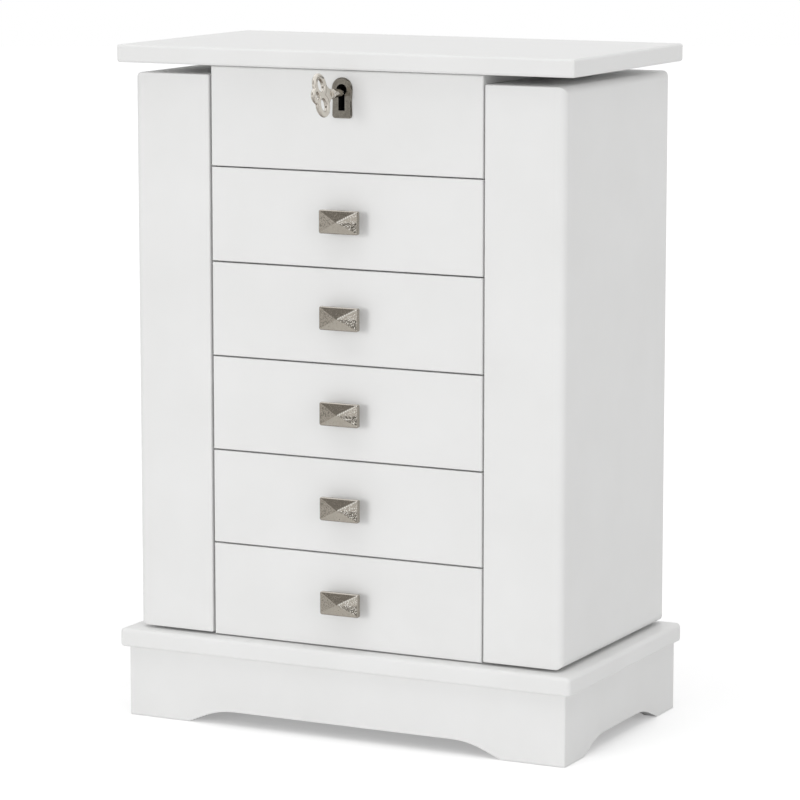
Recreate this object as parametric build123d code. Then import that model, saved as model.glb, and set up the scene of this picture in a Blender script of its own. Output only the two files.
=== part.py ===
from build123d import *
import math
import os

# Tabletop jewelry cabinet in painted board: five drawers, two swing-out side doors for
# necklaces, and a flip-up lid with a mirror under it, locked by a small box lock.
# Millimetres, +Z up, the drawers face -Y. Depths are measured from the front edge of the
# base board, and the whole part is moved at the end so that its box is centred in Y.

# Outline
total_height = 445.0
base_width = 327.0
base_depth = 183.0
base_top = 58.6
base_thickness = 12.3
key_reach = 29.6            # the key's bow stands this far in front of the base board

# Skirt under the base board
skirt_half_width = 158.5
skirt_front = 4.4
skirt_thickness = 9.0
foot_front = 45.0           # length of a foot along the front
foot_side = 29.0            # length of a foot along a side
arch_height = 9.4
arch_radius = 58.0
arch_slope = math.radians(22.5)
corner_block_leg = 26.0
corner_block_lift = 11.4
skirt_corner_radius = 1.2
base_corner_radius = 3.0
base_top_radius = 2.8
base_lower_radius = 2.0

# Carcass
carcass_half_width = 97.0
board = 9.0
back_face = 177.0
back_thickness = 6.0
carcass_top = 432.6
front_face = 11.2           # faces of the drawers and of the top front panel
panel_bottom = 368.3
panel_edge_radius = 1.0

# Drawers, numbered from the top
drawer_count = 5
drawer_pitch = 61.8
drawer_height = 60.9
drawer_gap = 0.8
drawer_board = 8.8          # a little under the board, so that the closed drawer stands clear
drawer_side = 6.0
drawer_box_half_width = 86.6
drawer_box_height = 50.0
drawer_box_lift = 5.0       # the box starts this far above the front's lower edge
drawer_box_back = 165.0
drawer_bottom = 3.0
drawer_bottom_lift = 1.0
drawer_edge_radius = 1.5
runner_width = 10.0
runner_height = 5.6
runner_front = 24.2
runner_back = 168.0

# Top compartment: a cross wall, three short walls and a bed of ring rolls
tray_floor_thickness = 5.0
tray_wall = 4.0
tray_wall_height = 26.0
tray_cross = 74.0
tray_split = 123.0
roll_count = 6
roll_height = 19.0
roll_clearance = 0.4
bumper_radius = 3.5
bumper_depths = (34.0, 160.0)
bumper_gap = 0.1

# Knobs
knob_width = 27.8
knob_height = 15.0
knob_plate = 2.4
knob_bevel = 0.5
knob_rise = 3.2             # apex above the rim
knob_standoff = 9.6         # rim in front of the drawer's face
knob_stem_radius = 3.6
knob_foot_radius = 5.4
knob_foot_height = 2.4
knob_corner_radius = 1.2
knob_tip = 0.15
knob_hole_margin = 0.3
knob_thread_margin = 0.5
knob_screw_radius = 1.9
knob_screw_head_radius = 3.6
knob_screw_head = 2.2

# Side doors
door_inner = 98.4
door_outer = 153.6
door_front = 10.4
door_low = 60.3
door_high = 427.0
door_edge_radius = 5.5
door_small_radius = 0.8
door_panel = 8.0
door_stile = 9.0
door_rail = 8.0
hook_count = 6
hook_wire = 1.3
hook_reach = 7.5            # straight part of the wire
hook_bend = 3.5
hook_rise = 7.0
hook_plate_radius = 3.2
hook_plate_thickness = 1.2
hook_ball_radius = 2.0
pocket_depth = 25.0
pocket_height = 82.0
pocket_wall = 2.0
pocket_lift = 0.5
pocket_margin = 4.0         # from the stiles to the pocket and to the hook rail
hook_rail_depth = 10.0
hook_rail_drop = 22.0       # from the top rail to the middle of the hook rail
hook_rail_half_height = 7.0
hook_rail_radius = 1.5
catch_depth = 32.0          # magnets and catch screws, behind the front edge
magnet_radius = 3.0
magnet_thickness = 2.5

# Lid
lid_half_width = 162.4
lid_front = 2.6
lid_thickness = 11.6
lid_edge_radius = 1.8
mirror_half_width = 100.0
mirror_front = 43.0
mirror_depth = 115.0
mirror_thickness = 3.0
mirror_clearance = 0.3
mirror_bevel = 0.8

# Butt hinges
hinge_length = 32.0
barrel_radius = 2.4
hinge_pin_radius = 1.2
pin_clearance = 0.05
leaf_thickness = 1.2
leaf_start = 2.8
leaf_end = 10.4
hinge_screw_spacing = 16.0
hinge_screw_reach = 6.6
knuckle_gap = 0.2
leaf_corner_radius = 1.5
pin_head_radius = 1.7
pin_head_thickness = 0.6
lid_hinge_x = 60.0
door_hinge_heights = (122.0, 366.0)

# Countersunk screws
screw_head_radius = 2.0
screw_shank_radius = 0.95
screw_length = 5.6
screw_slot_width = 0.6
screw_slot_depth = 0.5
screw_clearance = 0.03

# Lock
lock_x = -1.5
lock_z = 420.4
plate_width = 14.4
plate_height = 25.8
plate_rise = 0.6            # middle of its round top, above the keyhole's middle
plate_thickness = 1.5
plate_waist = 0.5
plate_foot_inset = 0.3
plate_foot_radius = 2.0
plate_bevel = 0.6
keyhole_radius = 3.75
keyhole_slot = 4.6
keyhole_drop = 13.2
keyhole_margin = 0.4        # the hole in the wood is this much larger all round
case_half_width = 19.5
case_depth = 12.0
case_wall = 1.0
case_ear = 6.4
case_screw_inset = 4.0
case_low = 405.0
case_high = 432.0
strike_reach = (-20.0, 24.0)        # ends of the strike plate, from the lock's middle
strike_half_depth = 4.5
strike_corner_radius = 2.0
strike_room = 0.05                  # round the strike in its recess
strike_screws = (-16.0, 2.0, 20.0)
strike_behind = 7.6                 # middle of the strike, behind the front panel
loop_thickness = 1.6
loop_half_depth = 2.5
loop_places = (-7.0, 11.0)
loop_slot_margin = 0.8
loop_foot = 1.8                     # lowest point of a loop, above the keyhole's middle
eye_half_depth = 1.5
eye_low = 1.2
eye_height = 6.0
bolt_thickness = 2.4
bolt_travel = 6.0
bolt_clearance = 0.2
bolt_finger = 3.0
bolt_bar_low = -9.7                 # from the keyhole's middle
bolt_bar_height = 5.0
nose_low = 4.8
nose_height = 3.0
nose_gap = 0.6                      # between a nose and its loop, unlocked

# Key
key_rest_turn = 11.0        # degrees past the upright, bit-down place
key_drop = 1.6              # it hangs this far below the keyhole's middle
key_radius = 1.9            # inside the lock
barrel_end = 6.4            # where the thick part of the shaft starts to taper
key_barrel_radius = 2.75
bow_thickness = 3.0
bow_edge_radius = 1.4
bow_hole_edge = 0.9
side_lobe_radius = 7.8
side_lobe_hole = 4.0
side_lobe_spread = 6.2
side_lobe_behind = 11.6     # from the bow's tip to the middle of the side lobes
front_lobe_radius = 5.4
front_lobe_hole = 2.4
collar_radius = 3.15
collar_y = -3.2
collar_half_width = 0.6
neck_half_thickness = 1.3
shaft_behind = 5.2          # end of the shaft, behind the front panel
bit_reach = 8.6
bit_half_thickness = 1.1
bit_behind = 1.7            # bit's near side, behind the front panel
bit_width = 2.8

lid_bottom = total_height - lid_thickness
hinge_axis_y = back_face + barrel_radius
lid_axis_z = (lid_bottom + carcass_top) / 2
door_axis_x = (carcass_half_width + door_inner) / 2
inner_half_width = carcass_half_width - board
panel_back = front_face + board
strike_y = panel_back + strike_behind
catch_heights = (door_low + door_rail / 2, door_high - door_rail / 2)
base_half_width = base_width / 2
origin_y = (base_depth - key_reach) / 2

nodes = {}


def add(node, *shapes):
    nodes.setdefault(node, [])
    for shape in shapes:
        nodes[node].extend(shape.solids())


def block(x0, x1, y0, y1, z0, z1):
    place = Pos((x0 + x1) / 2, (y0 + y1) / 2, (z0 + z1) / 2)
    return place * Box(x1 - x0, y1 - y0, z1 - z0)


def rod(radius, start, end):
    axis = Vector(*end) - Vector(*start)
    return Solid.make_cylinder(radius, axis.length, Plane(origin=start, z_dir=axis))


def mirrored(shape):
    return mirror(shape, about=Plane.YZ)


# A countersunk screw: its head's face at the place given, its point along the direction.
def screw_at(place, direction, extra=0.0):
    head_depth = screw_head_radius - screw_shank_radius
    plane = Plane(origin=place, z_dir=direction)
    head = Solid.make_cone(
        screw_head_radius + extra, screw_shank_radius + extra, head_depth, plane
    )
    shank = Solid.make_cylinder(screw_shank_radius + extra, screw_length, plane)
    return head + shank


def screw_with_slot(place, direction):
    plane = Plane(origin=place, z_dir=direction)
    slot = plane * Box(2 * screw_head_radius, screw_slot_width, 2 * screw_slot_depth)
    return screw_at(place, direction) - slot


# The space under a skirt board: straight rise from the foot, then an arc into a level top.
def arch_face(half_span):
    arc_run = arch_radius * math.sin(arch_slope)
    arc_rise = arch_radius * (1 - math.cos(arch_slope))
    straight_rise = arch_height - arc_rise
    straight_run = straight_rise / math.tan(arch_slope)
    arc_start = half_span - straight_run
    arc_end = arc_start - arc_run
    half_turn = arch_slope / 2
    arc_middle = (
        arc_end + arch_radius * math.sin(half_turn),
        arch_height - arch_radius * (1 - math.cos(half_turn)),
    )
    foot = (half_span, 0)
    knee = (arc_start, straight_rise)
    crown = (arc_end, arch_height)
    right = [Line(foot, knee), ThreePointArc(knee, arc_middle, crown)]
    left = [mirror(edge, about=Plane.YZ) for edge in right]
    top = Line(crown, (-arc_end, arch_height))
    floor = Polyline(foot, (half_span, -1), (-half_span, -1), (-half_span, 0))
    return make_face([*right, *left, top, *floor.edges()])


def make_skirt():
    x = skirt_half_width
    y0 = skirt_front
    y1 = base_depth
    t = skirt_thickness
    top = base_top - base_thickness
    ring = block(-x, x, y0, y1, 0, top)
    ring = fillet(ring.edges().filter_by(Axis.Z), skirt_corner_radius)
    ring = ring - block(-x + t, x - t, y0 + t, y1 - t, -1, top + 1)
    middle = (y0 + y1) / 2
    front_arch = Plane.XZ * arch_face(x - foot_front)
    side_arch = Pos(0, middle, 0) * (Plane.YZ * arch_face(middle - y0 - foot_side))
    ring = ring - extrude(front_arch, amount=2 * base_depth, both=True)
    ring = ring - extrude(side_arch, amount=base_width, both=True)
    outer = [(-x, y0), (x, y0), (x, y1), (-x, y1)]
    inner = [(-x + t, y0 + t), (x - t, y0 + t), (x - t, y1 - t), (-x + t, y1 - t)]
    names = ["skirt_front", "skirt_right", "skirt_back", "skirt_left"]
    for side, name in enumerate(names):
        following = (side + 1) % 4
        corners = [outer[side], outer[following], inner[following], inner[side]]
        sector = extrude(make_face(Polyline(*corners, close=True)), amount=top)
        add(name, ring & sector)
    leg = corner_block_leg
    height = top - corner_block_lift
    for sx in (-1, 1):
        for near, sy in ((y0 + t, 1), (y1 - t, -1)):
            corner = (sx * (x - t), near)
            along = (sx * (x - t - leg), near)
            across = (sx * (x - t), near + sy * leg)
            triangle = make_face(Polyline(corner, along, across, close=True))
            add("corner_blocks", Pos(0, 0, corner_block_lift) * extrude(triangle, amount=height))


def make_base_board():
    shape = block(
        -base_half_width, base_half_width, 0, base_depth, base_top - base_thickness, base_top
    )
    shape = fillet(shape.edges().filter_by(Axis.Z), base_corner_radius)
    shape = fillet(shape.edges().group_by(Axis.Z)[-1], base_top_radius)
    shape = fillet(shape.edges().group_by(Axis.Z)[0], base_lower_radius)
    add("base_board", shape)


# One butt hinge about its own X axis: leaf A hangs down, leaf B stands up, and both lie on
# a wall whose face is one barrel radius behind the axis.
def hinge_parts():
    half = hinge_length / 2
    split = hinge_length / 6
    gap = knuckle_gap
    wall = -barrel_radius
    face = wall + leaf_thickness
    bore = rod(hinge_pin_radius + pin_clearance, (-half - 1, 0, 0), (half + 1, 0, 0))

    def knuckle(x0, x1, up):
        reach = leaf_start * up
        strap = block(x0, x1, wall, face, min(0, reach), max(0, reach))
        return rod(barrel_radius, (x0, 0, 0), (x1, 0, 0)) + strap

    def plate(up):
        low, high = sorted((up * leaf_start, up * leaf_end))
        blank = block(-half, half, wall, face, low, high)
        outer_edges = blank.edges().filter_by(Axis.Y).group_by(Axis.Z)[-1 if up > 0 else 0]
        return fillet(outer_edges, leaf_corner_radius)

    leaf_a = plate(-1) + knuckle(-half, -split - gap, -1) + knuckle(split + gap, half, -1) - bore
    leaf_b = plate(1) + knuckle(-split + gap, split - gap, 1) - bore
    ends = (-hinge_screw_spacing / 2, hinge_screw_spacing / 2)
    places_a = [(x, face, -hinge_screw_reach) for x in ends]
    places_b = [(x, face, hinge_screw_reach) for x in ends]
    leaf_a = drilled(leaf_a, places_a, (0, -1, 0))
    leaf_b = drilled(leaf_b, places_b, (0, -1, 0))
    pin = rod(hinge_pin_radius, (-half, 0, 0), (half, 0, 0))
    for end in (-half, half):
        outwards = math.copysign(pin_head_thickness, end)
        pin = pin + rod(pin_head_radius, (end, 0, 0), (end + outwards, 0, 0))
    return leaf_a, leaf_b, pin, places_a, places_b


# Puts a hinge on a plane, and returns where the screws of its two leaves go.
def place_hinge(plane, carcass_node, moving_node):
    leaf_a, leaf_b, pin, places_a, places_b = hinge_parts()
    add(carcass_node, plane * leaf_a)
    add(moving_node, plane * leaf_b)
    add("hinge_pins", plane * pin)
    fixed = [tuple((plane * Pos(*place)).position) for place in places_a]
    moving = [tuple((plane * Pos(*place)).position) for place in places_b]
    return fixed, moving


def make_all_hinges():
    carcass_places = []
    lid_places = []
    door_places = []
    for x in (-lid_hinge_x, lid_hinge_x):
        plane = Plane(origin=(x, hinge_axis_y, lid_axis_z), x_dir=(1, 0, 0), z_dir=(0, 0, 1))
        fixed, moving = place_hinge(plane, "carcass_hinge_leaves", "lid_hinge_leaves")
        carcass_places += fixed
        lid_places += moving
    for height in door_hinge_heights:
        for sx, node in ((1, "door_right_hinge_leaves"), (-1, "door_left_hinge_leaves")):
            plane = Plane(
                origin=(sx * door_axis_x, hinge_axis_y, height),
                x_dir=(0, 0, -sx),
                z_dir=(sx, 0, 0),
            )
            fixed, moving = place_hinge(plane, "carcass_hinge_leaves", node)
            carcass_places += fixed
            door_places += moving
    return carcass_places, lid_places, door_places


def drilled(shape, places, direction):
    for place in places:
        shape = shape - screw_at(place, direction, screw_clearance)
    return shape


# A keyhole through any wall: a round hole with a slot below it.
def keyhole_tool(grow, y0, y1):
    radius = keyhole_radius + grow
    half_slot = keyhole_slot / 2 + grow
    hole = rod(radius, (lock_x, y0, lock_z), (lock_x, y1, lock_z))
    slot = block(
        lock_x - half_slot, lock_x + half_slot, y0, y1, lock_z - keyhole_drop - grow, lock_z
    )
    return hole + slot


def make_carcass(back_screws, catch_places):
    x = inner_half_width
    side = block(x, carcass_half_width, panel_back, back_face, base_top, carcass_top)
    inwards = (0, -1, 0)
    for name, shape, sx in (("side_panel_right", side, 1), ("side_panel_left", mirrored(side), -1)):
        shape = drilled(shape, [p for p in back_screws if p[0] * sx > x], inwards)
        shape = drilled(shape, [p for p in catch_places if p[0] * sx > 0], (-sx, 0, 0))
        add(name, shape)
    back = block(-x, x, back_face - back_thickness, back_face, base_top, carcass_top)
    add("back_panel", drilled(back, [p for p in back_screws if abs(p[0]) < x], inwards))
    floor_top = panel_bottom + tray_floor_thickness
    add("tray_floor", block(-x, x, panel_back, back_face - back_thickness, panel_bottom, floor_top))
    panel = block(
        -carcass_half_width, carcass_half_width, front_face, panel_back, panel_bottom, carcass_top
    )
    panel = fillet(panel.edges().group_by(Axis.Y)[0], panel_edge_radius)
    panel = panel - keyhole_tool(keyhole_margin, front_face - 1, panel_back + 1)
    add("front_panel", drilled(panel, case_screw_places(), inwards))


def make_runners():
    for k in range(drawer_count):
        low = base_top + drawer_pitch * k
        strip = block(
            inner_half_width - runner_width, inner_half_width, runner_front, runner_back,
            low, low + runner_height,
        )
        add("drawer_runners", strip, mirrored(strip))


def make_tray():
    floor = panel_bottom + tray_floor_thickness
    top = floor + tray_wall_height
    half = tray_wall / 2
    rear = back_face - back_thickness
    add(
        "tray_dividers",
        block(-inner_half_width, inner_half_width, tray_cross - half, tray_cross + half, floor, top),
        block(-half, half, panel_back, tray_cross - half, floor, top),
        block(-half, half, tray_cross + half, rear, floor, top),
        block(half, inner_half_width, tray_split - half, tray_split + half, floor, top),
    )
    start = tray_cross + half
    pitch = (rear - start) / roll_count
    radius = pitch / 2 - roll_clearance
    x0 = -inner_half_width + roll_clearance
    x1 = -half - roll_clearance
    crown_z = floor + roll_height - radius
    for k in range(roll_count):
        y = start + pitch * (k + 0.5)
        crown = rod(radius, (x0, y, crown_z), (x1, y, crown_z))
        add("ring_rolls", block(x0, x1, y - radius, y + radius, floor, crown_z) + crown)


def make_bumpers():
    x = carcass_half_width - board / 2
    top = lid_bottom - bumper_gap
    for sx in (-1, 1):
        for y in bumper_depths:
            add("lid_bumpers", rod(bumper_radius, (sx * x, y, carcass_top), (sx * x, y, top)))


# The escutcheon's outline: round top over the keyhole, a slight waist, rounded foot.
def make_escutcheon():
    half = plate_width / 2
    low = plate_rise + half - plate_height
    foot_half = half - plate_foot_inset
    shoulder = (half, plate_rise)
    waist = (half - plate_waist, low * 0.35)
    knee = (foot_half, low + plate_foot_radius)
    toe = (foot_half - plate_foot_radius, low)
    turn = plate_foot_radius * (1 - math.sqrt(0.5))
    top = ThreePointArc(shoulder, (0, plate_rise + half), (-half, plate_rise))
    side = Spline(shoulder, waist, knee, tangents=((0, -1), (0, -1)))
    corner = ThreePointArc(knee, (foot_half - turn, low + turn), toe)
    foot = Line(toe, (-toe[0], low))
    left = [mirror(edge, about=Plane.YZ) for edge in (side, corner)]
    outline = make_face([top, side, corner, foot, *left])
    body = Pos(lock_x, front_face, lock_z) * extrude(Plane.XZ * outline, amount=plate_thickness)
    body = chamfer(body.faces().sort_by(Axis.Y)[0].edges(), plate_bevel)
    add("escutcheon", body - keyhole_tool(0.0, front_face - 5, front_face + 1))


def case_screw_places():
    x = case_half_width + case_ear / 2
    return [
        (lock_x + sx * x, panel_back + case_wall, z)
        for sx in (-1, 1)
        for z in (case_low + case_screw_inset, case_high - case_screw_inset)
    ]


def make_lock_case():
    w = case_wall
    y0 = panel_back
    y1 = y0 + case_depth
    x0 = lock_x - case_half_width
    x1 = lock_x + case_half_width
    body = block(x0, x1, y0, y1 - w, case_low, case_high)
    body = body + block(x0 - case_ear, x1 + case_ear, y0, y0 + w, case_low, case_high)
    body = body - block(x0 + w, x1 - w, y0 + w, y1, case_low + w, case_high - w)
    body = body - keyhole_tool(keyhole_margin, y0 - 1, y0 + w + 0.1)
    side_room = loop_thickness / 2 + loop_slot_margin
    depth_room = loop_half_depth + loop_slot_margin
    for loop in loop_places:
        x = lock_x + loop
        body = body - block(
            x - side_room, x + side_room, strike_y - depth_room, strike_y + depth_room,
            case_high - w - 0.1, case_high + 1,
        )
    body = drilled(body, case_screw_places(), (0, -1, 0))
    ledge_top = lock_z + bolt_bar_low - bolt_clearance
    bolt_y = strike_y - bolt_thickness / 2
    ledge = block(
        x0 + w, x1 - w, bolt_y - bolt_clearance, bolt_y + bolt_thickness + bolt_clearance,
        case_low + w, ledge_top,
    )
    cover = block(x0, x1, y1 - w, y1, case_low, case_high)
    add("lock_case", body + ledge, cover)


# Bolt: a bar with two upright fingers, each with a nose that enters a loop of the strike.
def make_bolt():
    y0 = strike_y - bolt_thickness / 2
    y1 = y0 + bolt_thickness
    bar_low = lock_z + bolt_bar_low
    nose_z = lock_z + nose_low
    tips = [lock_x + loop - loop_thickness / 2 - nose_gap for loop in loop_places]
    first = tips[0] - bolt_travel - bolt_finger
    shape = block(first, tips[1], y0, y1, bar_low, bar_low + bolt_bar_height)
    for tip in tips:
        root = tip - bolt_travel
        shape = shape + block(root - bolt_finger, root, y0, y1, bar_low, nose_z + nose_height)
        shape = shape + block(root - 1, tip, y0, y1, nose_z, nose_z + nose_height)
    add("lock_bolt", shape)


def strike_screw_places():
    return [(lock_x + x, strike_y, lid_bottom) for x in strike_screws]


# The plate of the strike, let into the lid, from a given height up to its hidden face.
def strike_blank(low, room=0.0):
    x0, x1 = strike_reach
    half = strike_half_depth + room
    blank = block(
        lock_x + x0 - room, lock_x + x1 + room, strike_y - half, strike_y + half,
        low, lid_bottom + leaf_thickness,
    )
    return fillet(blank.edges().filter_by(Axis.Z), strike_corner_radius + room)


def make_strike():
    plate = drilled(strike_blank(lid_bottom), strike_screw_places(), (0, 0, 1))
    low = lock_z + loop_foot
    for loop in loop_places:
        x = lock_x + loop
        half = loop_thickness / 2
        tab = block(
            x - half, x + half, strike_y - loop_half_depth, strike_y + loop_half_depth,
            low, lid_bottom,
        )
        eye = block(
            x - loop_thickness, x + loop_thickness,
            strike_y - eye_half_depth, strike_y + eye_half_depth,
            low + eye_low, low + eye_low + eye_height,
        )
        plate = plate + (tab - eye)
    add("strike_plate", plate)


# The key: a cast bow of three pierced lobes, a neck, a collar, the shaft and its bit, turned
# a little about the shaft as it hangs in the lock.
def make_key():
    side_y = side_lobe_behind - key_reach
    front_y = front_lobe_radius - key_reach
    spread = side_lobe_spread
    lobes = [
        (side_y, spread, side_lobe_radius, side_lobe_hole),
        (side_y, -spread, side_lobe_radius, side_lobe_hole),
        (front_y, 0, front_lobe_radius, front_lobe_hole),
    ]
    half = bow_thickness / 2
    shape = key_neck(side_y)
    for y, z, radius, hole in lobes:
        disc = rod(radius, (-half, y, z), (half, y, z))
        shape = shape + fillet(disc.edges().filter_by(GeomType.CIRCLE), bow_edge_radius)
    for y, z, radius, hole in lobes:
        shape = shape - rod(hole, (-2 * half, y, z), (2 * half, y, z))
    rims = [e for e in shape.edges().filter_by(GeomType.CIRCLE) if is_hole_rim(e, lobes)]
    shape = fillet(rims, bow_hole_edge)
    shape = shape + rod(
        collar_radius, (0, collar_y - collar_half_width, 0), (0, collar_y + collar_half_width, 0)
    )
    shape = shape + rod(key_barrel_radius, (0, collar_y - 2.5, 0), (0, barrel_end, 0))
    taper = front_face - plate_thickness - 0.2 - barrel_end
    cone_plane = Plane(origin=(0, barrel_end, 0), z_dir=(0, 1, 0))
    shape = shape + Solid.make_cone(key_barrel_radius, key_radius, taper, cone_plane)
    shape = shape + rod(key_radius, (0, barrel_end, 0), (0, panel_back + shaft_behind, 0))
    bit_y = panel_back + bit_behind
    t = bit_half_thickness
    bit = block(-t, t, bit_y, bit_y + bit_width, -bit_reach, 0)
    ward = block(-2 * t, 2 * t, bit_y + 1.0, bit_y + 1.9, -bit_reach - 1, -bit_reach + 2.6)
    shape = shape + (bit - ward)
    add("key", Pos(lock_x, 0, lock_z - key_drop) * (Rot(0, -key_rest_turn, 0) * shape))


def is_hole_rim(edge, lobes):
    return any(abs(edge.radius - hole) < 0.01 for y, z, radius, hole in lobes)


# The flat neck in the bow's plane, from between the side lobes to the collar.
def key_neck(side_y):
    upper = [
        (side_y + 2.0, side_lobe_spread + 1.0),
        (side_y + 7.4, side_lobe_spread - 0.5),
        (side_y + 9.6, 3.7),
        (side_y + 12.0, 2.9),
        (collar_y, key_barrel_radius),
    ]
    lower = [(y, -z) for y, z in reversed(upper)]
    face = make_face(Plane.YZ * Polyline(*upper, *lower, close=True))
    return extrude(face, amount=neck_half_thickness, both=True)


def make_lid(screw_places):
    shape = block(-lid_half_width, lid_half_width, lid_front, back_face, lid_bottom, total_height)
    shape = fillet(shape.edges(), lid_edge_radius)
    gap = mirror_clearance
    x = mirror_half_width
    y0 = mirror_front
    y1 = mirror_front + mirror_depth
    glass_low = lid_bottom + gap
    glass_high = glass_low + mirror_thickness
    shape = shape - block(-x - gap, x + gap, y0 - gap, y1 + gap, lid_bottom - 1, glass_high)
    shape = shape - strike_blank(lid_bottom - 1, strike_room)
    shape = drilled(shape, screw_places, (0, -1, 0))
    add("lid_board", drilled(shape, strike_screw_places(), (0, 0, 1)))
    glass = block(-x, x, y0, y1, glass_low, glass_high)
    add("mirror_glass", chamfer(glass.edges().group_by(Axis.Z)[0], mirror_bevel))


def catch_screw_places():
    return [
        (sx * carcass_half_width, catch_depth, z) for sx in (-1, 1) for z in catch_heights
    ]


# The closed outer form of the right door: large radii round its outer face, small ones
# along the other edges.
def door_shell():
    shell = block(door_inner, door_outer, door_front, back_face, door_low, door_high)
    shell = fillet(shell.faces().sort_by(Axis.X)[-1].edges(), door_edge_radius)
    small = shell.edges().filter_by(Axis.X) + shell.faces().sort_by(Axis.X)[0].edges()
    return fillet(small, door_small_radius)


# The right door as pairs of node suffix and shapes; the left one is its mirror image.
def door_shapes(hinge_screws):
    shell = door_shell()
    face = door_outer - door_panel
    stile_back = door_front + door_stile
    rear_front = back_face - door_stile
    rail_top = door_low + door_rail
    rail_under = door_high - door_rail
    far = 1.0
    x0 = door_inner - far
    y0 = door_front - far
    y1 = back_face + far
    z0 = door_low - far
    z1 = door_high + far
    panel = shell & block(face, door_outer + far, y0, y1, z0, z1)
    front_stile = shell & block(x0, face, y0, stile_back, z0, z1)
    rear_stile = shell & block(x0, face, rear_front, y1, z0, z1)
    rails = [
        shell & block(x0, face, stile_back, rear_front, z0, rail_top),
        shell & block(x0, face, stile_back, rear_front, rail_under, z1),
    ]
    magnets = []
    for z in catch_heights:
        start = (door_inner, catch_depth, z)
        magnets.append(rod(magnet_radius, start, (door_inner + magnet_thickness, catch_depth, z)))
    rails = [rail - magnet for rail, magnet in zip(rails, magnets)]
    inner_y0 = stile_back + pocket_margin
    inner_y1 = rear_front - pocket_margin
    rail_x = face - hook_rail_depth
    rail_z = rail_under - hook_rail_drop
    hook_rail = block(
        rail_x, face, inner_y0, inner_y1,
        rail_z - hook_rail_half_height, rail_z + hook_rail_half_height,
    )
    rails.append(fillet(hook_rail.edges().group_by(Axis.X)[0], hook_rail_radius))
    pitch = (inner_y1 - inner_y0) / hook_count
    hooks = [hook_at(rail_x, inner_y0 + pitch * (k + 0.5), rail_z) for k in range(hook_count)]
    w = pocket_wall
    pocket_z = rail_top + pocket_lift
    pocket_x = face - pocket_depth
    pocket = block(pocket_x, face, inner_y0, inner_y1, pocket_z, pocket_z + pocket_height)
    pocket = pocket - block(
        pocket_x + w, face - w, inner_y0 + w, inner_y1 - w,
        pocket_z + w, pocket_z + pocket_height + 1,
    )
    return [
        ("panel", [panel]),
        ("front_stile", [front_stile]),
        ("rear_stile", [drilled(rear_stile, hinge_screws, (0, -1, 0))]),
        ("rails", rails),
        ("hooks", hooks),
        ("pocket", [pocket]),
        ("magnets", magnets),
    ]


# A necklace hook: a round plate, a wire out of it that turns up, and a ball on its end.
def hook_at(wall_x, y, z):
    elbow = (wall_x - hook_reach, y, z)
    upright_x = elbow[0] - hook_bend
    turn_middle = (
        elbow[0] - hook_bend * math.sqrt(0.5), y, z + hook_bend * (1 - math.sqrt(0.5))
    )
    turn_end = (upright_x, y, z + hook_bend)
    top = (upright_x, y, z + hook_rise)
    path = Wire([
        Line((wall_x, y, z), elbow), ThreePointArc(elbow, turn_middle, turn_end), Line(turn_end, top)
    ])
    section = Plane(origin=(wall_x, y, z), z_dir=(-1, 0, 0)) * Circle(hook_wire)
    plate = rod(hook_plate_radius, (wall_x, y, z), (wall_x - hook_plate_thickness, y, z))
    return sweep(section, path=path) + plate + Pos(*top) * Sphere(hook_ball_radius)


def make_doors(door_places):
    for suffix, shapes in door_shapes([p for p in door_places if p[0] > 0]):
        for shape in shapes:
            add("door_right_" + suffix, shape)
            add("door_left_" + suffix, mirrored(shape))
    for place in door_places:
        side = "right" if place[0] > 0 else "left"
        add("door_" + side + "_screws", screw_with_slot(place, (0, -1, 0)))


# A knob: a bevelled plate with a flat pyramid on it, a stem with a flared foot, and the
# screw that holds it through the drawer's front.
def knob_shapes(z):
    rim_y = front_face - knob_standoff
    half_width = knob_width / 2
    half_height = knob_height / 2
    plate = block(
        -half_width, half_width, rim_y, rim_y + knob_plate, z - half_height, z + half_height
    )
    plate = fillet(plate.edges().filter_by(Axis.Y), knob_corner_radius)
    plate = chamfer(plate.edges().group_by(Axis.Y)[0], knob_bevel)
    width = knob_width - 2 * knob_bevel
    height = knob_height - 2 * knob_bevel
    tip = knob_tip
    pyramid = Wedge(
        width, knob_rise, height,
        width / 2 - tip, height / 2 - tip, width / 2 + tip, height / 2 + tip,
    )
    pyramid = Pos(0, rim_y - knob_rise / 2, z) * (Rot(180, 0, 0) * pyramid)
    thread_end = rim_y + knob_plate + knob_thread_margin
    foot_plane = Plane(origin=(0, front_face, z), z_dir=(0, -1, 0))
    foot = Solid.make_cone(knob_foot_radius, knob_stem_radius, knob_foot_height, foot_plane)
    stem = rod(knob_stem_radius, (0, rim_y + knob_plate, z), (0, front_face, z))
    thread = rod(knob_screw_radius + screw_clearance, (0, thread_end, z), (0, front_face + 1, z))
    body = plate + pyramid + stem + foot - thread
    inside = front_face + drawer_board
    head_top = inside + knob_screw_head
    shank = rod(knob_screw_radius, (0, thread_end + knob_thread_margin, z), (0, inside + 1, z))
    head = rod(knob_screw_head_radius, (0, inside, z), (0, head_top, z))
    head = fillet(head.edges().group_by(Axis.Y)[-1], knob_screw_head / 2)
    arm = knob_screw_head_radius * 1.2
    cross = Box(arm, knob_screw_head, 0.9) + Box(0.9, knob_screw_head, arm)
    return body, shank + head - Pos(0, head_top, z) * cross


def drawer_front_board(low):
    x = carcass_half_width
    back = front_face + drawer_board
    front = block(-x, x, front_face, back, low, low + drawer_height)
    front = fillet(front.edges().group_by(Axis.Y)[0], panel_edge_radius)
    z = low + drawer_height / 2
    return front - rod(knob_screw_radius + knob_hole_margin, (0, front_face - 1, z), (0, back + 1, z))


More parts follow.
